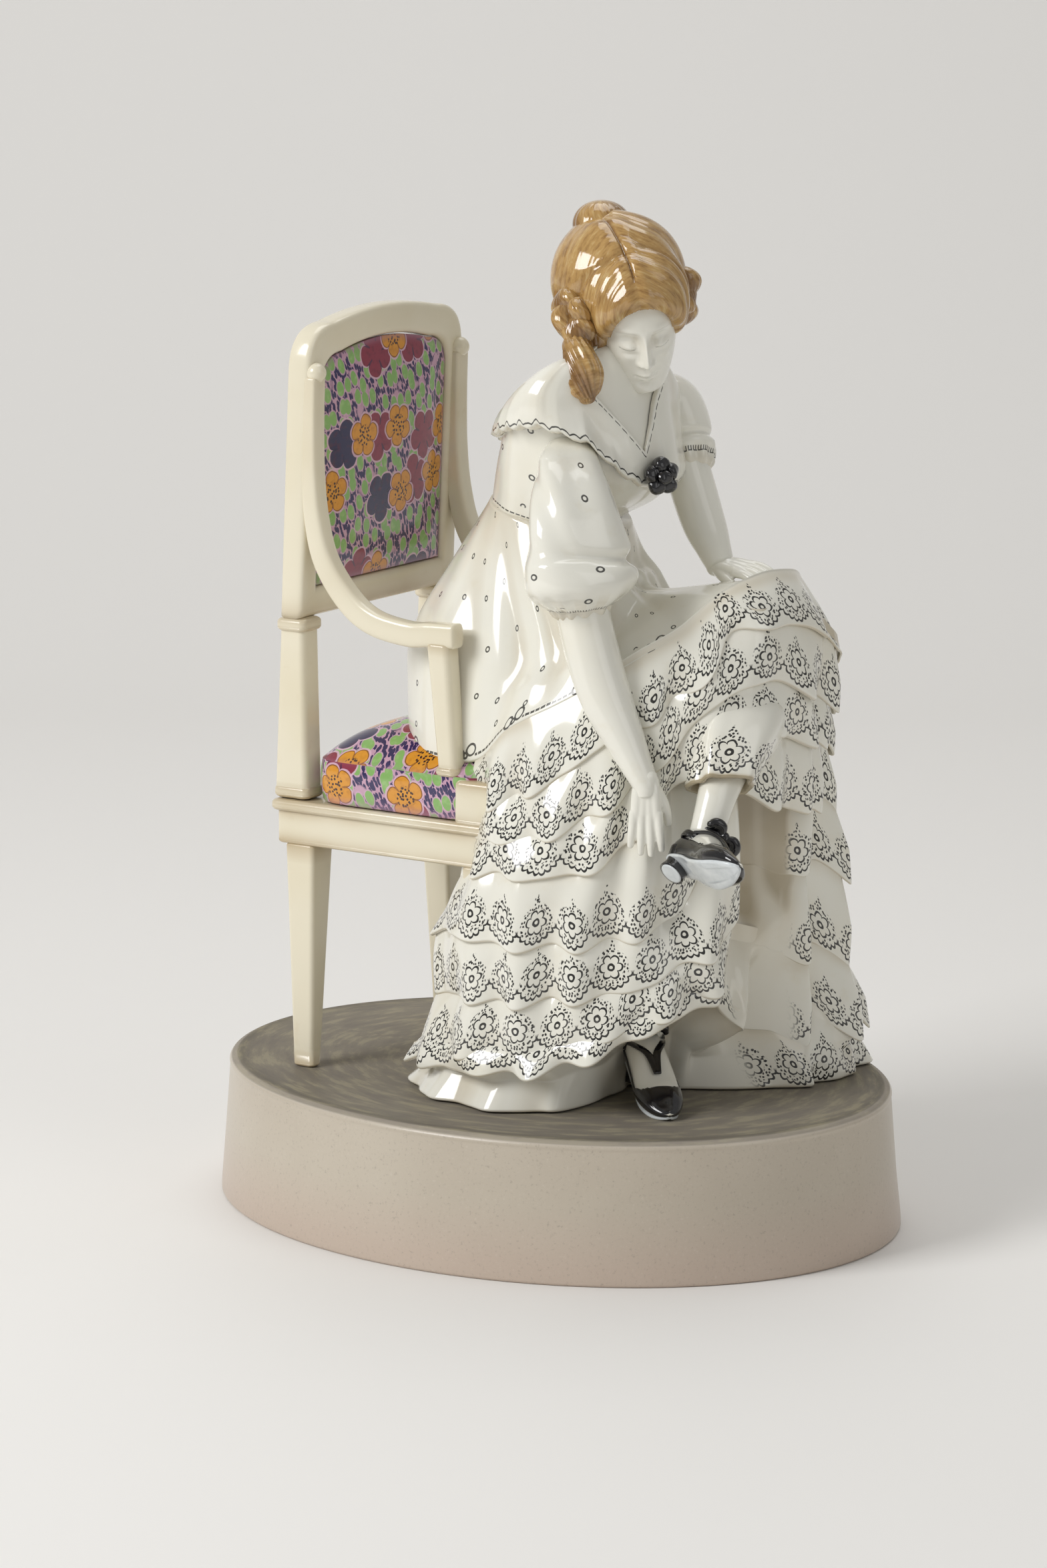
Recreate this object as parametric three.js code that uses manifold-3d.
// Painted ceramic figure group: a seated lady in a flounced lace dress, her left leg crossed over her
// right knee, on the front of an upholstered armchair, on an oval plinth. Millimetres, +Z up. The origin
// is at the middle of the plinth's foot, +X is the way the chair faces and the long axis of the plinth.
// The group is fired clay, so nothing moves: every solid is a section that is cast or modelled by itself
// and joined to its neighbours with slip, with a hairline of SLIP_GAP between them here.

import * as THREE from 'three';
import { mergeVertices } from 'three/addons/utils/BufferGeometryUtils.js';
import Module from 'manifold-3d';

const wasm = await Module();
wasm.setup();

// Clearance between neighbouring sections
const SLIP_GAP = 0.3;

// Plinth
const PLINTH_LENGTH = 239;
const PLINTH_WIDTH = 188;
const PLINTH_HEIGHT = 47.5;
const PLINTH_DRAFT = 3.5;
const PLINTH_WALL = 7;
const PLINTH_TOP = 8;
const PLINTH_EDGE = 3;
const PLINTH_STEPS = 40;

// Chair, in its own frame: X forward, Z up from the plinth's top
const CHAIR_TURN = 2.4;
const CHAIR_OFFSET = [0, -4.3];
const SEAT_REAR = -81;
const SEAT_FRONT = 8.5;
const SEAT_WIDTH = 96.6;
const APRON_INSET = 1.7;
const LEG_LENGTH = 76.9;
const APRON_HEIGHT = 11.2;
const MOULDING_HEIGHT = 3.9;
const CORNER_BLOCK_HEIGHT = 14.2;
const CORNER_BLOCK_LENGTH = 15.5;
const CORNER_BLOCK_WIDTH = 9.5;
const CUSHION_SIDE_HEIGHT = 16.6;
const CUSHION_CROWN = 10.5;
const CUSHION_EDGE = 3.5;
const CUSHION_INSET = 1;
const CUSHION_FRONT_SETBACK = 3;
const CUSHION_STEPS = 32;
const CUSHION_SQUARENESS = 7;
const LEG_TOP = [11.5, 12.5];
const LEG_FOOT = [8, 5.5];
const LEG_SPLAY = 2.3;
const LEG_SETBACK = { rear: 3, front: 0.5, side: 0.3 };
const STILE_DEPTH = 13.4;
const STILE_NECK_DEPTH = 9.6;
const STILE_WIDTH = 10.3;
const COLLAR_HEIGHT = 4.2;
const COLLAR_PROUD = 1.1;
const BACK_FOOT_HEIGHT = 153.5;
const BACK_TOP_HEIGHT = 255;
const BACK_DEPTH = 9.4;
const BACK_INSET = 2.3;
const BACK_OUTER_WIDTH = SEAT_WIDTH - 2 * BACK_INSET;
const BACK_LEAN = 0.045;
const BACK_CORNER = 15;
const BACK_ARCH = 3.2;
const LOWER_RAIL = 10;
const CREST_RAIL = 10.6;
const SIDE_RAIL = 9;
const PANEL_WIDTH = BACK_OUTER_WIDTH - 2 * SIDE_RAIL;
const PANEL_CORNER = 11;
const PANEL_SWELL = 3;
const PANEL_DEPTH = 6.5;
const KNOB_RADIUS = 3.4;
const KNOB_HEIGHT = 236;
const ARM_WIDTH = 7;
const ARM_DROP = 8.2;
const ARM_INSET = 5.7;
const ARM_SIDE = SEAT_WIDTH / 2 - ARM_INSET;
const POST_TOP = [9, 8];
const POST_FOOT = [7.5, 8];
const POST_FOOT_X = -10.8;
const POST_TOP_X = -14.8;
const ARM_TOP_HEIGHT = 157.2;
const ARM_THIN = 4.8;
const ARM_SOFTNESS = 1.1;
const ARM_STEPS = 16;
// The middle line of an arm, first by its distance in front of the back's face and its height, then by its
// place along the chair and its height
const ARM_ON_BACK = [[0, 234], [0, 218], [0.6, 202], [2.6, 187], [7, 173.5]];
const ARM_FORWARD = [[-52, 161.5], [-42, 154.8], [-28, 152.2], [-19, 152.8]];

// Figure, X and Y from the plinth's middle and Z up from the plinth's top
const SKIRT_AXIS = [25, -2];
const SKIRT_STEPS = 60;
const SEAM_GAP = 0.7;
const HEM_GAP = 0.45;
const FLOUNCE_STEP = 2.6;
const FLOUNCE_LIFT = 1.2;
const FLUTE_DEPTH = 1.5;
const PETTICOAT_FLUTES = 12;
const TORSO_STEPS = 22;
const SHOULDER_HALF_WIDTH = 34.5;
const COLLAR_THICKNESS = 1.7;
const COLLAR_SPREAD = 1;

// The waist is an oval that falls to the front by WAIST.slope for each millimetre
const WAIST = { at: [0, -4, 191], deep: 18.5, wide: 23.5, slope: -0.22 };
// The folds of the skirt are set out on these compass directions round SKIRT_AXIS, in degrees from +X.
const FOLD_ANGLES = [0, 12, 24, 36, 60, 90, 120, 150, 180, 200, 220, 240, 260, 280, 300, 315, 330, 345];
// Each line is one edge that goes round the skirt: its reach from SKIRT_AXIS and its height.
const HIP_LINE = {
  reach: [11, 12, 14, 17, 22, 30, 42, 60, 70, 70, 60, 45, 38, 37, 30, 22, 16, 12],
  height: [167, 167, 166, 164, 160, 155, 152, 150, 149, 149, 149, 148, 148, 152, 159, 163, 166, 167],
};
const BEADING_LINE = {
  reach: [57, 60, 62, 62, 52, 42, 46, 60, 69, 71, 64, 51, 50, 47, 45, 45, 48, 53],
  height: [174, 174, 171, 162, 140, 125, 115, 111, 111, 111, 111, 113, 126, 135, 144, 151, 158, 169],
};
const FLOUNCES = [
  {
    reach: [66, 70, 73, 74, 64, 50, 38, 28, 26, 28, 34, 51, 54, 52, 50, 51, 55, 61],
    height: [161, 158, 150, 144, 128, 112, 102, 98, 96, 96, 96, 96, 101, 110, 124, 130, 139, 159],
    flutes: 13,
  },
  {
    reach: [66, 70, 72, 73, 66, 52, 38, 28, 26, 28, 36, 53, 57, 55, 53, 54, 57, 62],
    height: [142, 135, 130, 127, 112, 98, 90, 86, 84, 84, 84, 86, 89, 93, 102, 112, 128, 142],
    flutes: 12,
  },
  {
    reach: [65, 68, 70, 70, 66, 54, 42, 30, 27, 30, 44, 55, 59, 58, 56, 56, 57, 61],
    height: [124, 119, 117, 114, 98, 84, 74, 70, 68, 68, 70, 75, 79, 80, 84, 97, 114, 126],
    flutes: 13,
  },
  {
    reach: [63, 66, 68, 69, 68, 56, 44, 32, 28, 46, 60, 63, 63, 60, 57, 55, 50, 58],
    height: [100, 96, 96, 95, 80, 68, 58, 53, 50, 48, 51, 56, 57, 57, 58, 61, 69, 104],
    flutes: 12,
  },
  {
    reach: [36, 50, 70, 73, 70, 58, 46, 34, 30, 47, 60, 62, 63, 61, 59, 56, 52, 46],
    height: [80, 77, 73, 71, 60, 50, 42, 36, 32, 29, 31, 35, 37, 39, 41, 45, 52, 56],
    flutes: 13,
  },
  {
    reach: [34, 44, 66, 75, 74, 62, 48, 36, 32, 52, 65, 66, 65, 62, 60, 57, 53, 46],
    height: [52, 50, 45, 42, 36, 29, 24, 20, 16, 13, 13, 16, 19, 21, 28, 33, 38, 42],
    flutes: 12,
  },
  {
    reach: [34, 46, 70, 84, 84, 70, 54, 40, 33, 55, 68, 68, 67, 64, 61, 58, 54, 46],
    height: [22, 21, 18, 17, 17, 14, 12, 10, 8, 7, 9, 11, 13, 16, 23, 29, 34, 36],
    flutes: 13,
  },
];
const PETTICOAT_LINE = {
  reach: [30, 42, 62, 74, 80, 66, 50, 36, 30, 48, 60, 60, 55, 48, 34, 24, 22, 26],
};
const PETTICOAT_FOOT = {
  reach: [32, 50, 65, 75, 88, 70, 52, 38, 34, 50, 65, 62, 57, 50, 28, 18, 17, 22],
};

// Torso sections from the waist to the neck: middle, half depth, half width, and how far the left side
// hangs below the right
const TORSO = [
  { at: [-2, -3, 181], deep: 18.5, wide: 21, drop: 0 },
  { at: [2, -3, 185], deep: 23.5, wide: 22, drop: 1 },
  { at: [9, -4, 190.5], deep: 28.5, wide: 25, drop: 2 },
  { at: [13.5, -4.5, 200], deep: 30.5, wide: 28, drop: 4 },
  { at: [15, -5, 213], deep: 27.5, wide: 31, drop: 8 },
  { at: [17.5, -5.5, 225], deep: 22, wide: SHOULDER_HALF_WIDTH, drop: 12 },
  { at: [23, -5.5, 234.5], deep: 15.5, wide: 31, drop: 12 },
  { at: [27, -5.5, 241.5], deep: 11, wide: 21, drop: 8 },
  { at: [29, -5.5, 246], deep: 8.5, wide: 13, drop: 5 },
];
// The collar hangs from the neck to this edge, each point a place along X and its height on the near side
const COLLAR_EDGE = [[-40, 214], [-12, 216.5], [6, 220], [22, 221.5], [34, 217], [41, 208], [46, 202],
  [70, 198]];
const COLLAR_DROP = 0.2;
// The cutting shape that this edge is the foot of: how high it goes, and how far to each side
const CAPE_TOP = 290;
const CAPE_HALF_WIDTH = 60;
// The plane across the figure in which the edge has its own heights
const COLLAR_EDGE_SIDE = -25;
const NECKLINE = [
  { at: [48, -10, 208], r: 2.5 },
  { at: [44, -8, 219], r: 6.5 },
  { at: [39, -6.5, 232], r: 10 },
  { at: [33, -6, 250], r: 16 },
];

// Limbs, each a list of stations: middle and radius
const RIGHT_SLEEVE = [
  { at: [27, -30, 221], r: 8.5 },
  { at: [30.5, -38.5, 215], r: 11.5 },
  { at: [33.2, -42.6, 207], r: 12.5 },
  { at: [36, -44.5, 195], r: 14.5 },
  { at: [38.5, -45.4, 182], r: 18 },
  { at: [40, -45.4, 173], r: 17 },
  { at: [40.5, -45, 167], r: 9.6 },
];
const RIGHT_ARM = [
  { at: [40.5, -45, 170], r: 8.6 },
  { at: [46.5, -44.2, 147], r: 9 },
  { at: [56.5, -45, 128], r: 7.4 },
  { at: [66.8, -45.2, 112], r: 5.3 },
];
const LEFT_SLEEVE = [
  { at: [24, 17, 227], r: 9 },
  { at: [28, 23.5, 224], r: 11 },
  { at: [31, 24.5, 217], r: 11 },
  { at: [34, 23.5, 210], r: 9.5 },
  { at: [35.5, 22.8, 206], r: 8.4 },
];
const LEFT_ARM = [
  { at: [35, 22.6, 208], r: 7.6 },
  { at: [40, 21, 197], r: 7.8 },
  { at: [46, 18.8, 186], r: 7.4 },
  { at: [54.5, 15.2, 174.5], r: 5 },
];
const LEFT_SHIN = [
  { at: [74, 4, 127], r: 9.5 },
  { at: [77, -9, 121], r: 8.6 },
  { at: [82, -25, 110.5], r: 6.6 },
  { at: [83.4, -34.8, 95], r: 5.6 },
];
const RIGHT_SHIN = [
  { at: [40, -2, 40], r: 7 },
  { at: [42.5, -7, 29], r: 5.8 },
  { at: [45.5, -12, 17], r: 5 },
];

// Hands: wrist end, the way that the fingers run and the way that the back of the hand faces
const PALM_LENGTH = 11;
const HAND_WIDTH = 10.5;
const HAND_THICKNESS = 5.2;
const FINGER_LENGTH = 12;
const FINGER_RADIUS = 1.35;
const FINGER_SHARES = [0.82, 1, 0.95, 0.75];
const THUMB = [
  { at: [3, 3.5, -0.5], r: 2 },
  { at: [8, 7, -1.5], r: 1.7 },
  { at: [13.5, 8, -3], r: 1.3 },
];
const RIGHT_HAND = {
  wrist: [66.8, -45.4, 112],
  along: [0.02, -0.05, -1],
  back: [0.5, -0.85, 0.1],
  curl: 0.12,
};
const LEFT_HAND = {
  wrist: [55, 15, 174],
  along: [0.95, -0.1, -0.02],
  back: [0.1, -0.25, 1],
  curl: 0.45,
};

// Shoes: under the heel, the way the foot points and the way its instep faces
const SHOE_WIDTH = 15.5;
const LEFT_SHOE = { heel: [72.6, -48.4, 80.6], along: [0.89, -0.37, 0.26], instep: [0.185, 0.831, 0.523] };
const RIGHT_SHOE = { heel: [37.5, -10, 4.2], along: [0.755, -0.65, -0.1], instep: [0.08, -0.06, 1] };
const BOW_RADIUS = 3.4;
const BOW_LOOPS = [[16, 3.6, 21], [16, -3.6, 21], [18, 0, 20.5]];
// Shoe sections from the heel forward: place, sole and top over the ground, share of the half width
const SHOE_SECTIONS = [[-1, 9, 15, 0.5], [3, 8.6, 19, 0.78], [12, 6.5, 20, 0.86], [22, 2.7, 16.5, 0.92],
  [31, 0.2, 10.5, 1], [39, 0, 7.5, 0.88], [44, 0.5, 4.8, 0.6], [47, 1.4, 3.2, 0.25]];
// The heel under it from the ground up: height, place, half depth, half width
const HEEL_SECTIONS = [[0, 3.5, 3.2, 3], [4, 3.2, 2.7, 2.6], [10.5, 3.4, 4.4, 5.2]];

// Head, hair and what is pinned on
const HEAD_CENTRE = [35.9, -7.6, 257.2];
const HEAD_TURN = -42;
const HEAD_NOD = 28;
const HEAD_TILT = -8;
const HEAD_HEIGHT = 42;
// Head sections from the neck to the crown: share of the half height, place forward, half depth, half width
const HEAD_SECTIONS = [[-1, 10, 3, 4], [-0.93, 9.5, 5, 7], [-0.7, 6.5, 9, 9.5], [-0.4, 2.5, 13.5, 12.2],
  [0, 0, 16.5, 13.5], [0.4, -1, 16, 13.2], [0.7, -2, 13, 10.5], [0.88, -3, 8, 6.5]];
const NOSE = { at: [17, 0, -5], radii: [4.2, 1.9, 4] };
const NECK = [
  { at: [24, -4, 236], r: 9 },
  { at: [28, -5, 246], r: 7.6 },
  { at: [31, -6.5, 256], r: 7.6 },
];
// The hair that is rolled round the head, and what it leaves open for the face, both by the head's own axes
const HAIR_ROLL = { at: [-1, 0, 8], radii: [19, 18, 17] };
const FACE_OPENING = { at: [17, 0, -9], radii: [13, 12.6, 18.5] };
const HAIR_RADIUS = 22;
const HAIR_CENTRE = [26.3, -3.4, 269];
const BUN_RADIUS = 9.6;
const BUN_HEIGHT = 15.8;
const BUN_CENTRE = [19, -2.6, 286];
const CURL_RADIUS = 5.2;
const RIGHT_CURLS = [[22, -25.5, 257], [27, -27, 254], [20.5, -23.5, 262]];
const LEFT_CURLS = [[45.5, 6, 267.5], [44, 6.5, 259]];
const RINGLET = [
  { at: [25.5, -25.5, 252], r: 4 },
  { at: [28.5, -29, 247], r: 5.8 },
  { at: [31.5, -31.5, 241], r: 6.2 },
  { at: [33.5, -32, 234.5], r: 4 },
];
const ROSETTE_CENTRE = [48.5, -11, 206.5];
const PETAL_RADIUS = 3.2;

// Colours of the glazes
const IVORY_GLAZE = '#e9dfc6';
const WHITE_GLAZE = '#edecdf';
const PLINTH_GLAZE = '#b3a99f';
const UPHOLSTERY_GLAZE = '#b98fa8';
const HAIR_GLAZE = '#a9814f';
const BLACK_GLAZE = '#17161a';

const radians = THREE.MathUtils.degToRad;
const vector = (list) => new THREE.Vector3(...list);

function solidOf(geometry) {
  const bare = geometry.index ? geometry.clone() : geometry;
  bare.deleteAttribute('normal');
  bare.deleteAttribute('uv');
  const merged = mergeVertices(bare, 1e-4);
  const vertProperties = new Float32Array(merged.attributes.position.array);
  const triVerts = new Uint32Array(merged.index.array);
  return new wasm.Manifold(new wasm.Mesh({ numProp: 3, vertProperties, triVerts }));
}

function geometryOf(solid) {
  const mesh = solid.getMesh();
  const geometry = new THREE.BufferGeometry();
  geometry.setAttribute('position', new THREE.BufferAttribute(new Float32Array(mesh.vertProperties), 3));
  geometry.setIndex(Array.from(mesh.triVerts));
  return geometry;
}

function largestPiece(solid) {
  const pieces = solid.decompose();
  return pieces.reduce((best, piece) => (piece.volume() > best.volume() ? piece : best));
}

const joined = (bodies) => bodies.reduce((sum, body) => sum.add(body));

// The same solid with every face moved out by the slip gap, for cutting its seat out of a neighbour
function grown(solid, gap = SLIP_GAP) {
  const mesh = solid.getMesh();
  const source = mesh.vertProperties;
  const faces = mesh.triVerts;
  const corner = (i) => new THREE.Vector3(source[3 * i], source[3 * i + 1], source[3 * i + 2]);
  const sums = Array.from({ length: source.length / 3 }, () => new THREE.Vector3());
  const normals = [];
  for (let f = 0; f < faces.length; f += 3) {
    const [a, b, c] = [faces[f], faces[f + 1], faces[f + 2]];
    const [pa, pb, pc] = [corner(a), corner(b), corner(c)];
    const normal = pb.clone().sub(pa).cross(pc.clone().sub(pa)).normalize();
    normals.push(normal);
    [[a, pa, pb, pc], [b, pb, pc, pa], [c, pc, pa, pb]].forEach(([i, p, q, r]) => {
      const angle = q.clone().sub(p).angleTo(r.clone().sub(p));
      sums[i].addScaledVector(normal, angle);
    });
  }
  sums.forEach((sum) => sum.normalize());
  const least = new Array(sums.length).fill(1);
  for (let f = 0; f < faces.length; f += 3) {
    for (let k = 0; k < 3; k += 1) {
      const i = faces[f + k];
      least[i] = Math.min(least[i], normals[f / 3].dot(sums[i]));
    }
  }
  const moved = new Float32Array(source.length);
  sums.forEach((sum, i) => {
    const step = gap / Math.max(least[i], 0.4);
    moved[3 * i] = source[3 * i] + sum.x * step;
    moved[3 * i + 1] = source[3 * i + 1] + sum.y * step;
    moved[3 * i + 2] = source[3 * i + 2] + sum.z * step;
  });
  return new wasm.Manifold(new wasm.Mesh({ numProp: 3, vertProperties: moved, triVerts: faces }));
}

function seated(solid, neighbours) {
  const cut = neighbours.reduce((rest, neighbour) => rest.subtract(grown(neighbour)), solid);
  return largestPiece(cut);
}

// A skin through rings of equally many points, closed by a fan at each end
function loft(rings) {
  const count = rings[0].length;
  const positions = rings.flat().flatMap((p) => [p.x, p.y, p.z]);
  const index = [];
  for (let r = 0; r + 1 < rings.length; r += 1) {
    for (let i = 0; i < count; i += 1) {
      const a = r * count + i;
      const b = r * count + ((i + 1) % count);
      index.push(a, b, b + count, a, b + count, a + count);
    }
  }
  [0, rings.length - 1].forEach((r) => {
    const middle = rings[r].reduce((sum, p) => sum.add(p), new THREE.Vector3()).divideScalar(count);
    const centre = positions.length / 3;
    positions.push(middle.x, middle.y, middle.z);
    for (let i = 0; i < count; i += 1) {
      const a = r * count + i;
      const b = r * count + ((i + 1) % count);
      index.push(...(r === 0 ? [b, a, centre] : [a, b, centre]));
    }
  });
  const geometry = new THREE.BufferGeometry();
  geometry.setAttribute('position', new THREE.Float32BufferAttribute(positions, 3));
  geometry.setIndex(index);
  return geometry;
}

function ovalRing(middle, xAxis, yAxis, steps) {
  return Array.from({ length: steps }, (_, i) => {
    const angle = (2 * Math.PI * i) / steps;
    return middle.clone().addScaledVector(xAxis, Math.cos(angle)).addScaledVector(yAxis, Math.sin(angle));
  });
}

// A round limb along a smooth line through its stations, rounded off at both ends
function limb(stations, sides, rings) {
  const line = new THREE.CatmullRomCurve3(stations.map((s) => vector(s.at)));
  const radiusAt = (t) => {
    const place = t * (stations.length - 1);
    const k = Math.min(Math.floor(place), stations.length - 2);
    return THREE.MathUtils.lerp(stations[k].r, stations[k + 1].r, place - k);
  };
  const reference = new THREE.Vector3(0.31, 0.94, 0.12).normalize();
  const sectionAt = (t, radius, shift) => {
    const along = line.getTangent(t);
    const xAxis = reference.clone().addScaledVector(along, -reference.dot(along)).normalize();
    const yAxis = along.clone().cross(xAxis);
    const middle = line.getPoint(t).addScaledVector(along, shift);
    return ovalRing(middle, xAxis.multiplyScalar(radius), yAxis.multiplyScalar(radius), sides);
  };
  const all = [sectionAt(0, radiusAt(0) * 0.6, -radiusAt(0) * 0.45)];
  for (let i = 0; i <= rings; i += 1) {
    all.push(sectionAt(i / rings, radiusAt(i / rings), 0));
  }
  all.push(sectionAt(1, radiusAt(1) * 0.6, radiusAt(1) * 0.45));
  return loft(all);
}

function ellipsoid(centre, radii, steps) {
  const ball = new THREE.SphereGeometry(1, steps, Math.round(steps / 2) + 1);
  return ball.scale(...radii).translate(...centre);
}

// A square bar with softened edges, from one middle and half size to another
function taperedBar(foot, top, footSize, topSize, softness) {
  const ring = (middle, size) => {
    const [x, y] = [size[0] / 2, size[1] / 2];
    const corners = [[x, -y + softness], [x, y - softness], [x - softness, y], [-x + softness, y],
      [-x, y - softness], [-x, -y + softness], [-x + softness, -y], [x - softness, -y]];
    return corners.map(([cx, cy]) => new THREE.Vector3(middle[0] + cx, middle[1] + cy, middle[2]));
  };
  return loft([ring(foot, footSize), ring(top, topSize)]);
}

function turned(geometry, forward, upward, origin) {
  const x = forward.clone().normalize();
  const z = upward.clone().addScaledVector(x, -upward.dot(x)).normalize();
  const y = z.clone().cross(x);
  const matrix = new THREE.Matrix4().makeBasis(x, y, z).setPosition(origin);
  return geometry.applyMatrix4(matrix);
}

// A smooth closed curve through one value for each of FOLD_ANGLES
function aroundSkirt(values) {
  const count = FOLD_ANGLES.length;
  const angleOf = (k) => FOLD_ANGLES[((k % count) + count) % count] + 360 * Math.floor(k / count);
  const valueOf = (k) => values[((k % count) + count) % count];
  const slopeOf = (k) => (valueOf(k + 1) - valueOf(k - 1)) / (angleOf(k + 1) - angleOf(k - 1));
  return (degrees) => {
    const angle = ((degrees % 360) + 360) % 360;
    let k = count - 1;
    while (FOLD_ANGLES[k] > angle) k -= 1;
    const width = angleOf(k + 1) - angleOf(k);
    const t = (angle - angleOf(k)) / width;
    const [t2, t3] = [t * t, t * t * t];
    return (2 * t3 - 3 * t2 + 1) * valueOf(k) + (t3 - 2 * t2 + t) * width * slopeOf(k)
      + (3 * t2 - 2 * t3) * valueOf(k + 1) + (t3 - t2) * width * slopeOf(k + 1);
  };
}

function skirtRing(reachAt, heightAt) {
  return Array.from({ length: SKIRT_STEPS }, (_, i) => {
    const degrees = (360 * i) / SKIRT_STEPS;
    const reach = reachAt(degrees);
    const x = SKIRT_AXIS[0] + reach * Math.cos(radians(degrees));
    const y = SKIRT_AXIS[1] + reach * Math.sin(radians(degrees));
    return new THREE.Vector3(x, y, heightAt(degrees));
  });
}

// Chair frame and its pieces
const chair = new THREE.Group();
chair.position.set(CHAIR_OFFSET[0], CHAIR_OFFSET[1], PLINTH_HEIGHT);
chair.rotation.z = radians(CHAIR_TURN);
const figure = new THREE.Group();
figure.position.set(0, 0, PLINTH_HEIGHT);
chair.updateMatrix();
figure.updateMatrix();
const chairToFigure = figure.matrix.clone().invert().multiply(chair.matrix);
const inFigureFrame = (solid) => solidOf(geometryOf(solid).applyMatrix4(chairToFigure));

const RAIL_TOP = LEG_LENGTH + APRON_HEIGHT + MOULDING_HEIGHT;
const BLOCK_TOP = RAIL_TOP + CORNER_BLOCK_HEIGHT;
const SIDES = [{ name: 'near', sign: -1 }, { name: 'far', sign: 1 }];

function roundedRectangle(x0, x1, y0, y1, radius) {
  const shape = new THREE.Shape();
  shape.moveTo(x0 + radius, y0);
  shape.lineTo(x1 - radius, y0);
  shape.absarc(x1 - radius, y0 + radius, radius, -Math.PI / 2, 0);
  shape.lineTo(x1, y1 - radius);
  shape.absarc(x1 - radius, y1 - radius, radius, 0, Math.PI / 2);
  shape.lineTo(x0 + radius, y1);
  shape.absarc(x0 + radius, y1 - radius, radius, Math.PI / 2, Math.PI);
  shape.lineTo(x0, y0 + radius);
  shape.absarc(x0 + radius, y0 + radius, radius, Math.PI, 1.5 * Math.PI);
  return shape;
}

function slab(shape, bottom, height, curveSegments = 3) {
  const geometry = new THREE.ExtrudeGeometry(shape, { depth: height, bevelEnabled: false, curveSegments });
  return geometry.translate(0, 0, bottom);
}

function seatFrame() {
  const half = SEAT_WIDTH / 2;
  const inner = half - APRON_INSET;
  const apron = roundedRectangle(SEAT_REAR + APRON_INSET, SEAT_FRONT - APRON_INSET, -inner, inner, 1);
  const rail = roundedRectangle(SEAT_REAR, SEAT_FRONT, -half, half, 1.5);
  const parts = [slab(apron, LEG_LENGTH, APRON_HEIGHT + 1),
    slab(rail, LEG_LENGTH + APRON_HEIGHT, MOULDING_HEIGHT)];
  SIDES.forEach(({ sign }) => {
    const y = sign * (half - CORNER_BLOCK_WIDTH / 2);
    const x = SEAT_FRONT - CORNER_BLOCK_LENGTH / 2;
    const size = [CORNER_BLOCK_LENGTH, CORNER_BLOCK_WIDTH];
    parts.push(taperedBar([x, y, RAIL_TOP - 1], [x, y, BLOCK_TOP], size, size, 1));
  });
  return joined(parts.map(solidOf));
}

function seatCushion() {
  const half = SEAT_WIDTH / 2 - CUSHION_INSET;
  const [x0, x1] = [SEAT_REAR + STILE_DEPTH + SLIP_GAP, SEAT_FRONT - CUSHION_FRONT_SETBACK];
  const [cx, hx] = [(x0 + x1) / 2, (x1 - x0) / 2];
  const base = RAIL_TOP + SLIP_GAP;
  const edge = base + CUSHION_SIDE_HEIGHT;
  const ring = (shrink, height) => Array.from({ length: CUSHION_STEPS }, (_, i) => {
    const angle = (2 * Math.PI * i) / CUSHION_STEPS;
    const [c, s] = [Math.cos(angle), Math.sin(angle)];
    const power = CUSHION_SQUARENESS;
    const size = (Math.abs(c) ** power + Math.abs(s) ** power) ** (-1 / power);
    return new THREE.Vector3(cx + hx * (1 - shrink) * c * size, half * (1 - shrink) * s * size, height);
  });
  const crown = [0.1, 0.25, 0.5, 0.75]
    .map((shrink) => ring(shrink, edge + CUSHION_CROWN * (1 - (1 - shrink) ** 2.4)));
  const side = [ring(0.01, base), ring(0, base + 2), ring(0, edge - CUSHION_EDGE), ring(0.03, edge - 1)];
  return solidOf(loft([...side, ...crown]));
}

function chairLeg(x, sign) {
  const y = SEAT_WIDTH / 2 - APRON_INSET - LEG_TOP[1] / 2 - LEG_SETBACK.side;
  const foot = [x, sign * (y + LEG_SPLAY), SLIP_GAP];
  const top = [x, sign * y, LEG_LENGTH - SLIP_GAP];
  return solidOf(taperedBar(foot, top, LEG_FOOT, LEG_TOP, 0.8));
}

// The back leans: it moves forward by BACK_LEAN for each millimetre of height
const backX = (height) => SEAT_REAR + BACK_LEAN * (height - RAIL_TOP);

function backStile(sign) {
  const y = sign * (BACK_OUTER_WIDTH / 2 - STILE_WIDTH / 2);
  const bottom = RAIL_TOP + SLIP_GAP;
  const top = BACK_FOOT_HEIGHT - SLIP_GAP;
  const foot = [SEAT_REAR + STILE_DEPTH / 2, y, bottom];
  const neck = [backX(top) + STILE_NECK_DEPTH / 2, y, top];
  const post = taperedBar(foot, neck, [STILE_DEPTH, STILE_WIDTH], [STILE_NECK_DEPTH, STILE_WIDTH - 0.6], 1);
  const proud = 2 * COLLAR_PROUD;
  const ringSize = [STILE_NECK_DEPTH + proud, STILE_WIDTH - 0.6 + proud];
  const ringFoot = [neck[0], y, top - COLLAR_HEIGHT];
  return joined([post, taperedBar(ringFoot, neck, ringSize, ringSize, 1.4)].map(solidOf));
}

function leaning(geometry) {
  const matrix = new THREE.Matrix4().makeShear(0, 0, 0, 0, BACK_LEAN, 0);
  return geometry.applyMatrix4(matrix);
}

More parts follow.
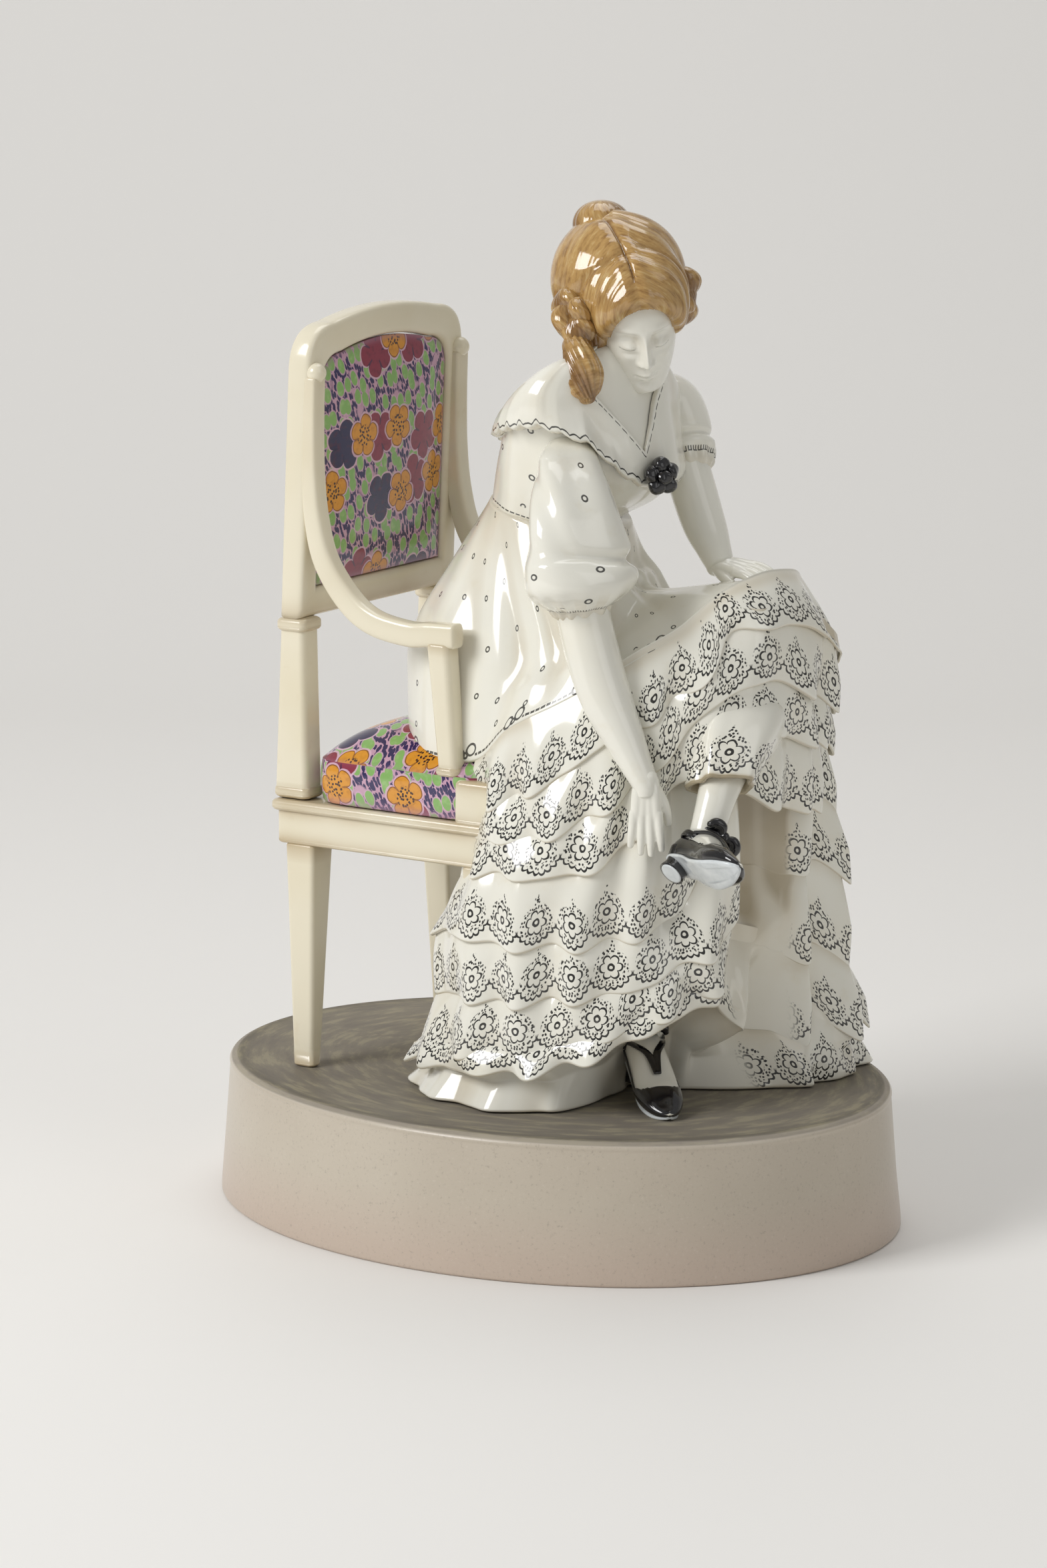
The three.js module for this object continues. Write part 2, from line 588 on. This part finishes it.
function backOutline(halfWidth, bottom, top, corner, arch) {
  const shape = new THREE.Shape();
  shape.moveTo(-halfWidth, bottom);
  shape.lineTo(halfWidth, bottom);
  shape.lineTo(halfWidth, top - corner);
  shape.quadraticCurveTo(halfWidth, top - 0.5, halfWidth - corner, top);
  shape.quadraticCurveTo(0, top + arch, -halfWidth + corner, top);
  shape.quadraticCurveTo(-halfWidth, top - 0.5, -halfWidth, top - corner);
  shape.lineTo(-halfWidth, bottom);
  return shape;
}

// An outline drawn across the chair and up is stood up and given its thickness to the front
function standing(shape, rear, depth) {
  const geometry = new THREE.ExtrudeGeometry(shape, { depth, bevelEnabled: false, curveSegments: 5 });
  const stand = new THREE.Matrix4().makeBasis(
    new THREE.Vector3(0, 1, 0), new THREE.Vector3(0, 0, 1), new THREE.Vector3(1, 0, 0));
  return geometry.applyMatrix4(stand).translate(rear, 0, 0);
}

const PANEL_BOTTOM = BACK_FOOT_HEIGHT + LOWER_RAIL;
const PANEL_TOP = BACK_TOP_HEIGHT - CREST_RAIL;

function backFrame() {
  const top = BACK_TOP_HEIGHT - BACK_ARCH;
  const outline = backOutline(BACK_OUTER_WIDTH / 2, BACK_FOOT_HEIGHT, top, BACK_CORNER, 2 * BACK_ARCH);
  const hole = backOutline(PANEL_WIDTH / 2, PANEL_BOTTOM, PANEL_TOP - BACK_ARCH, PANEL_CORNER, 2 * BACK_ARCH);
  outline.holes.push(hole);
  const flat = standing(outline, 0, BACK_DEPTH);
  return solidOf(leaning(flat.translate(SEAT_REAR - BACK_LEAN * RAIL_TOP, 0, 0)));
}

function backPanel() {
  const half = PANEL_WIDTH / 2 - SLIP_GAP;
  const [bottom, top] = [PANEL_BOTTOM + SLIP_GAP, PANEL_TOP - BACK_ARCH - SLIP_GAP];
  const points = backOutline(half, bottom, top, PANEL_CORNER, 2 * BACK_ARCH).getPoints(6).slice(0, -1);
  const middle = (PANEL_BOTTOM + PANEL_TOP) / 2;
  const rear = SEAT_REAR - BACK_LEAN * RAIL_TOP + (BACK_DEPTH - PANEL_DEPTH) / 2;
  const ring = (shrink, x) => points.map((p) => new THREE.Vector3(x, p.x * (1 - shrink),
    middle + (p.y - middle) * (1 - shrink)));
  const swell = [0.06, 0.2, 0.45, 0.75]
    .map((s) => ring(s, rear + PANEL_DEPTH + PANEL_SWELL * (1 - (1 - s) ** 2)));
  return solidOf(leaning(loft([ring(0, rear), ring(0, rear + PANEL_DEPTH), ...swell])));
}

// The arm runs down the face of the back from its knob, then sweeps forward to the post
function armRail(sign) {
  const y = sign * ARM_SIDE;
  const onBack = ARM_ON_BACK.map(([forward, height]) => [backX(height) + BACK_DEPTH + forward, height]);
  const end = [POST_TOP_X + POST_TOP[0] / 2 + 1, ARM_TOP_HEIGHT - ARM_DROP / 2];
  const points = [...onBack, ...ARM_FORWARD, end].map(([x, z]) => new THREE.Vector3(x, y, z));
  const line = new THREE.CatmullRomCurve3(points);
  const across = new THREE.Vector3(0, 1, 0);
  const wide = ARM_WIDTH / 2;
  const soft = ARM_SOFTNESS;
  const rings = Array.from({ length: ARM_STEPS + 1 }, (_, i) => {
    const t = i / ARM_STEPS;
    const up = line.getTangent(t).cross(across).normalize();
    const thick = THREE.MathUtils.lerp(ARM_THIN, ARM_DROP, Math.min(1, t * 1.9)) / 2;
    const section = [[wide, -thick + soft], [wide, thick - soft], [wide - soft, thick], [-wide + soft, thick],
      [-wide, thick - soft], [-wide, -thick + soft], [-wide + soft, -thick], [wide - soft, -thick]];
    const middle = line.getPoint(t);
    return section.map(([a, b]) => middle.clone().addScaledVector(across, a).addScaledVector(up, b));
  });
  return solidOf(loft(rings));
}

function armPost(sign) {
  const y = sign * ARM_SIDE;
  const foot = [POST_FOOT_X, y, BLOCK_TOP + SLIP_GAP];
  const top = [POST_TOP_X, y, ARM_TOP_HEIGHT - ARM_DROP + 1.5];
  return solidOf(taperedBar(foot, top, POST_FOOT, POST_TOP, 0.8));
}

function knob(sign) {
  const x = backX(KNOB_HEIGHT) + BACK_DEPTH + 0.5;
  return solidOf(ellipsoid([x, sign * ARM_SIDE, KNOB_HEIGHT], [KNOB_RADIUS, KNOB_RADIUS, KNOB_RADIUS], 10));
}

// Plinth: an oval drum with a little draft, hollow and open below
function plinth() {
  const [long, wide] = [PLINTH_LENGTH / 2, PLINTH_WIDTH / 2];
  const ring = (inset, height) => ovalRing(new THREE.Vector3(0, 0, height),
    new THREE.Vector3(long - inset, 0, 0), new THREE.Vector3(0, wide - inset, 0), PLINTH_STEPS);
  const outside = loft([ring(-PLINTH_DRAFT + 1, 0), ring(-PLINTH_DRAFT, 1.5),
    ring(0, PLINTH_HEIGHT - PLINTH_EDGE), ring(PLINTH_EDGE * 0.3, PLINTH_HEIGHT - PLINTH_EDGE * 0.3),
    ring(PLINTH_EDGE, PLINTH_HEIGHT)]);
  const inside = loft([ring(PLINTH_WALL - PLINTH_DRAFT, -1), ring(PLINTH_WALL, PLINTH_HEIGHT - PLINTH_TOP)]);
  return solidOf(outside).subtract(solidOf(inside));
}

// Skirt
const beadingReach = aroundSkirt(BEADING_LINE.reach);
const beadingHeight = aroundSkirt(BEADING_LINE.height);

// The lower edge of one flounce and, just behind it, the line where the next tier comes out
function flounceRings(k) {
  const flounce = FLOUNCES[k];
  const reach = aroundSkirt(flounce.reach);
  const height = aroundSkirt(flounce.height);
  const next = aroundSkirt((FLOUNCES[k + 1] ?? PETTICOAT_LINE).reach);
  const wave = (a) => FLUTE_DEPTH * Math.cos(radians(a) * flounce.flutes + k);
  const under = (a) => Math.min(reach(a) - FLOUNCE_STEP + 0.5 * wave(a), next(a) - 0.5);
  return [skirtRing((a) => reach(a) + wave(a), (a) => height(a) - 0.4 * wave(a)),
    skirtRing(under, (a) => height(a) + FLOUNCE_LIFT)];
}

function flouncedSkirt() {
  const top = skirtRing(beadingReach, (a) => beadingHeight(a) - SEAM_GAP);
  const rings = [top, ...FLOUNCES.flatMap((_, k) => flounceRings(k))];
  return solidOf(loft(rings.reverse()));
}

function petticoat() {
  const hemHeight = aroundSkirt(FLOUNCES[FLOUNCES.length - 1].height);
  const top = aroundSkirt(PETTICOAT_LINE.reach);
  const foot = aroundSkirt(PETTICOAT_FOOT.reach);
  const wave = (a) => FLUTE_DEPTH * Math.cos(radians(a) * PETTICOAT_FLUTES);
  const seam = flounceRings(FLOUNCES.length - 1)[1].map((p) => p.setZ(p.z - HEM_GAP));
  return solidOf(loft([skirtRing((a) => foot(a) + wave(a) - 1.5, () => SLIP_GAP),
    skirtRing((a) => foot(a) + wave(a), () => SLIP_GAP + 1.5),
    skirtRing((a) => (foot(a) + top(a) + wave(a)) / 2, (a) => Math.max(4, hemHeight(a) * 0.5)), seam]));
}

function yoke() {
  const line = ({ reach, height }) => skirtRing(aroundSkirt(reach), aroundSkirt(height));
  const [hip, beading] = [HIP_LINE, BEADING_LINE].map(line);
  const forward = new THREE.Vector3(WAIST.deep, 0, WAIST.deep * WAIST.slope);
  const waist = ovalRing(vector(WAIST.at), forward, new THREE.Vector3(0, WAIST.wide, 0), SKIRT_STEPS);
  const mixed = (a, b, t, bulge) => a.map((p, i) => {
    const middle = p.clone().lerp(b[i], t);
    const out = new THREE.Vector3(middle.x + 5, middle.y + 2, 0).normalize();
    return middle.addScaledVector(out, bulge);
  });
  return solidOf(loft([beading, mixed(beading, hip, 0.5, 1), hip, mixed(hip, waist, 0.5, 0.5), waist]));
}

// Torso
function torsoRings(extra, spread, from, to) {
  return TORSO.slice(from, to).map(({ at, deep, wide, drop }) => {
    const side = new THREE.Vector3(0.02, 1, -drop / wide / 1.6).normalize();
    const front = new THREE.Vector3(1, 0, 0.25);
    const reach = wide + extra + spread * (wide / SHOULDER_HALF_WIDTH) ** 4;
    return ovalRing(vector(at), front.multiplyScalar(deep + extra), side.multiplyScalar(reach), TORSO_STEPS);
  });
}

const torso = () => solidOf(loft(torsoRings(0, 0, 0, TORSO.length)));

function collar() {
  const shell = solidOf(loft(torsoRings(COLLAR_THICKNESS + SLIP_GAP, COLLAR_SPREAD, 3, TORSO.length)));
  const [first, last] = [COLLAR_EDGE[0][0], COLLAR_EDGE[COLLAR_EDGE.length - 1][0]];
  const outline = [...COLLAR_EDGE, [last, CAPE_TOP], [first, CAPE_TOP]].map(([x, z]) => new THREE.Vector2(x, z));
  const across = { depth: 2 * CAPE_HALF_WIDTH, bevelEnabled: false };
  const cape = new THREE.ExtrudeGeometry(new THREE.Shape(outline), across);
  cape.rotateX(Math.PI / 2).translate(0, CAPE_HALF_WIDTH, 0);
  cape.applyMatrix4(new THREE.Matrix4().makeShear(0, 0, 0, -COLLAR_DROP, 0, 0));
  cape.translate(0, 0, COLLAR_DROP * COLLAR_EDGE_SIDE);
  return shell.intersect(solidOf(cape)).subtract(solidOf(limb(NECKLINE, 14, 6)));
}

// Head, turned and nodding: X out of the face, Z to the crown
const headForward = new THREE.Vector3(Math.cos(radians(HEAD_TURN)) * Math.cos(radians(HEAD_NOD)),
  Math.sin(radians(HEAD_TURN)) * Math.cos(radians(HEAD_NOD)), -Math.sin(radians(HEAD_NOD)));
const headUp = new THREE.Vector3(Math.cos(radians(HEAD_TURN)) * Math.sin(radians(HEAD_NOD)),
  Math.sin(radians(HEAD_TURN)) * Math.sin(radians(HEAD_NOD)), Math.cos(radians(HEAD_NOD)))
  .applyAxisAngle(headForward, radians(-HEAD_TILT));

const onHead = (geometry) => turned(geometry, headForward, headUp, vector(HEAD_CENTRE));

function headBodies() {
  const rings = HEAD_SECTIONS.map(([up, forward, deep, across]) => ovalRing(
    new THREE.Vector3(forward, 0, (up * HEAD_HEIGHT) / 2), new THREE.Vector3(deep, 0, 0),
    new THREE.Vector3(0, across, 0), 18));
  return [onHead(loft(rings)), onHead(ellipsoid(NOSE.at, NOSE.radii, 8)), limb(NECK, 16, 4)].map(solidOf);
}

function hairBodies() {
  const mass = ellipsoid(HAIR_CENTRE, [HAIR_RADIUS, HAIR_RADIUS, HAIR_RADIUS - 1], 18);
  const roll = onHead(ellipsoid(HAIR_ROLL.at, HAIR_ROLL.radii, 16));
  return [mass, roll].map(solidOf);
}

const faceOpening = () => solidOf(onHead(ellipsoid(FACE_OPENING.at, FACE_OPENING.radii, 16)));

const bun = () => solidOf(ellipsoid(BUN_CENTRE, [BUN_RADIUS, BUN_RADIUS, BUN_HEIGHT / 2], 12));

const curlBodies = (places) => places
  .map((place) => solidOf(ellipsoid(place, [CURL_RADIUS, CURL_RADIUS, CURL_RADIUS * 1.1], 8)));

const ringlet = () => solidOf(limb(RINGLET, 10, 6));

// Petals round a middle on the chest, which faces half way between the two long axes
const rosette = () => joined([0, 1, 2, 3].map((k) => {
  const angle = (Math.PI * k) / 2;
  const place = vector(ROSETTE_CENTRE)
    .add(new THREE.Vector3(1.3, 2.24, 0).multiplyScalar(Math.cos(angle)))
    .add(new THREE.Vector3(0, 0, 3.2 * Math.sin(angle)));
  return solidOf(ellipsoid(place.toArray(), [PETAL_RADIUS, PETAL_RADIUS, PETAL_RADIUS * 1.1], 7));
}));

// A hand: the palm, four fingers side by side and the thumb
function hand({ wrist, along, back, curl }) {
  const palm = loft([[-1, 0.55], [2, 0.62], [6, 0.95], [PALM_LENGTH, 1]].map(([x, share]) => ovalRing(
    new THREE.Vector3(x, 0, 0), new THREE.Vector3(0, (HAND_WIDTH / 2) * share, 0),
    new THREE.Vector3(0, 0, HAND_THICKNESS / 2), 10)));
  const fingers = FINGER_SHARES.map((share, k) => {
    const y = ((k - 1.5) * HAND_WIDTH) / 4;
    const long = FINGER_LENGTH * share;
    const bend = curl * long;
    return limb([{ at: [PALM_LENGTH - 2, y, 0], r: FINGER_RADIUS * 1.15 },
      { at: [PALM_LENGTH + long / 2, y * 1.06, -bend / 4], r: FINGER_RADIUS * 1.05 },
      { at: [PALM_LENGTH + long, y * 1.08, -bend], r: FINGER_RADIUS * 0.85 }], 6, 2);
  });
  const whole = joined([palm, ...fingers, limb(THUMB, 6, 2)].map(solidOf));
  return solidOf(turned(geometryOf(whole), vector(along), vector(back), vector(wrist)));
}

const onShoe = (bodies, { heel, along, instep }) => bodies
  .map((body) => solidOf(turned(body, vector(along), vector(instep), vector(heel))));

// A court shoe with a waisted heel
function shoeBodies(place) {
  const body = loft(SHOE_SECTIONS.map(([x, sole, top, share]) => ovalRing(
    new THREE.Vector3(x, 0, (sole + top) / 2), new THREE.Vector3(0, (SHOE_WIDTH / 2) * share, 0),
    new THREE.Vector3(0, 0, (top - sole) / 2), 14)));
  const heel = loft(HEEL_SECTIONS.map(([z, x, deep, across]) => ovalRing(
    new THREE.Vector3(x, 0, z), new THREE.Vector3(deep, 0, 0), new THREE.Vector3(0, across, 0), 10)));
  return onShoe([body, heel], place);
}

// Two loops and the knot between them
function bowBodies(place) {
  const loops = BOW_LOOPS.map((at, k) => ellipsoid(at,
    [BOW_RADIUS * 0.6, k < 2 ? BOW_RADIUS : BOW_RADIUS * 0.5, BOW_RADIUS * 0.62], 6));
  return onShoe(loops, place);
}

// Every section is cut back where a larger neighbour that it seats on takes the room
const solids = {};
// The simple bodies that some sections are joined from: these cut the neighbours' seats
const bodies = {};
const pick = (names) => names.flatMap((name) => bodies[name] ?? solids[name]);
const rearLegX = SEAT_REAR + APRON_INSET + LEG_TOP[0] / 2 + LEG_SETBACK.rear;
const frontLegX = SEAT_FRONT - APRON_INSET - LEG_TOP[0] / 2 - LEG_SETBACK.front;

solids.seat_frame = seatFrame();
solids.back_frame = backFrame();
solids.back_panel = backPanel();
SIDES.forEach(({ name, sign }) => {
  solids[`rear_leg_${name}`] = chairLeg(rearLegX, sign);
  solids[`front_leg_${name}`] = chairLeg(frontLegX, sign);
  solids[`back_stile_${name}`] = backStile(sign);
  solids[`arm_post_${name}`] = armPost(sign);
  solids[`arm_rail_${name}`] = seated(armRail(sign), pick(['back_frame', `arm_post_${name}`]));
  solids[`arm_knob_${name}`] = seated(knob(sign), pick(['back_frame', `arm_rail_${name}`]));
});
solids.seat_cushion = seated(seatCushion(),
  pick(['seat_frame', 'back_stile_near', 'back_stile_far', 'arm_post_near', 'arm_post_far']));

// The chair's sections as the figure meets them, with the cushion still whole
const chairSolids = Object.fromEntries(Object.entries({ ...solids, seat_cushion: seatCushion() })
  .map(([name, solid]) => [name, inFigureFrame(solid)]));
const chairPick = (names) => names.map((name) => chairSolids[name]);
const seatSolids = chairPick(['seat_frame', 'seat_cushion', 'arm_post_near', 'arm_post_far', 'arm_rail_near',
  'arm_rail_far']);
const frontLegs = chairPick(['front_leg_near', 'front_leg_far']);

solids.plinth = plinth();
[['left', LEFT_SHOE, limb(LEFT_SHIN, 12, 5)], ['right', RIGHT_SHOE, limb(RIGHT_SHIN, 12, 4)]]
  .forEach(([side, place, shin]) => {
    const names = [`${side}_shoe`, `${side}_shoe_bow`, `${side}_leg`];
    const [shoe, bow, leg] = names;
    bodies[shoe] = shoeBodies(place);
    bodies[bow] = bowBodies(place);
    bodies[leg] = [solidOf(shin)];
    names.forEach((name, k) => {
      solids[name] = seated(joined(bodies[name]), pick(names.slice(0, k)));
    });
  });
const footNames = ['right_leg', 'right_shoe', 'right_shoe_bow'];

solids.petticoat = seated(petticoat(), [...pick(footNames), ...frontLegs]);
solids.flounced_skirt = seated(flouncedSkirt(),
  [...seatSolids, ...frontLegs, ...pick([...footNames, 'left_leg', 'left_shoe', 'left_shoe_bow'])]);
bodies.skirt_yoke = [yoke()];
solids.skirt_yoke = seated(yoke(), seatSolids);

bodies.bodice = [torso()];
bodies.head = headBodies();
bodies.hair = hairBodies();
bodies.side_curls_right = curlBodies(RIGHT_CURLS);
bodies.side_curls_left = curlBodies(LEFT_CURLS);
solids.bodice = seated(torso(), pick(['skirt_yoke']));
solids.head = seated(joined(bodies.head), pick(['bodice']));
solids.collar = seated(collar(), pick(['bodice', 'head']));
solids.hair = seated(joined(bodies.hair).subtract(faceOpening()), pick(['head', 'collar']));
solids.hair_bun = seated(bun(), [solids.hair]);
solids.side_curls_right = seated(joined(bodies.side_curls_right),
  pick(['hair', 'head', 'bodice', 'collar']));
solids.side_curls_left = seated(joined(bodies.side_curls_left), pick(['hair', 'head']));
solids.ringlet = seated(ringlet(), pick(['hair', 'head', 'side_curls_right', 'collar', 'bodice']));
solids.rosette = seated(rosette(), pick(['bodice', 'collar']));
solids.right_sleeve = seated(solidOf(limb(RIGHT_SLEEVE, 16, 9)),
  pick(['bodice', 'collar', 'skirt_yoke', 'ringlet']));
solids.left_sleeve = seated(solidOf(limb(LEFT_SLEEVE, 14, 6)), pick(['bodice', 'collar']));
solids.right_arm = seated(solidOf(limb(RIGHT_ARM, 12, 6)),
  pick(['right_sleeve', 'skirt_yoke', 'flounced_skirt']));
solids.left_arm = seated(solidOf(limb(LEFT_ARM, 12, 6)),
  pick(['left_sleeve', 'bodice', 'collar', 'skirt_yoke']));
solids.right_hand = seated(hand(RIGHT_HAND),
  pick(['right_arm', 'left_shoe', 'left_shoe_bow', 'left_leg', 'flounced_skirt']));
solids.left_hand = seated(hand(LEFT_HAND), pick(['left_arm', 'skirt_yoke', 'flounced_skirt']));

const GLAZES = {
  ivory: new THREE.MeshStandardMaterial({ color: IVORY_GLAZE, roughness: 0.18, metalness: 0 }),
  white: new THREE.MeshStandardMaterial({ color: WHITE_GLAZE, roughness: 0.12, metalness: 0 }),
  plinth: new THREE.MeshStandardMaterial({ color: PLINTH_GLAZE, roughness: 0.35, metalness: 0 }),
  upholstery: new THREE.MeshStandardMaterial({ color: UPHOLSTERY_GLAZE, roughness: 0.2, metalness: 0 }),
  hair: new THREE.MeshStandardMaterial({ color: HAIR_GLAZE, roughness: 0.15, metalness: 0 }),
  black: new THREE.MeshStandardMaterial({ color: BLACK_GLAZE, roughness: 0.12, metalness: 0 }),
};

function glazeOf(name) {
  if (name === 'plinth') return GLAZES.plinth;
  if (name === 'seat_cushion' || name === 'back_panel') return GLAZES.upholstery;
  if (/hair|curls|ringlet/.test(name)) return GLAZES.hair;
  if (/shoe|rosette/.test(name)) return GLAZES.black;
  return name in chairSolids ? GLAZES.ivory : GLAZES.white;
}

const group = new THREE.Group();
group.add(chair, figure);
Object.entries(solids).forEach(([name, solid]) => {
  const mesh = new THREE.Mesh(geometryOf(solid), glazeOf(name));
  mesh.name = name;
  if (name === 'plinth') group.add(mesh);
  else if (name in chairSolids) chair.add(mesh);
  else figure.add(mesh);
});

export default group;
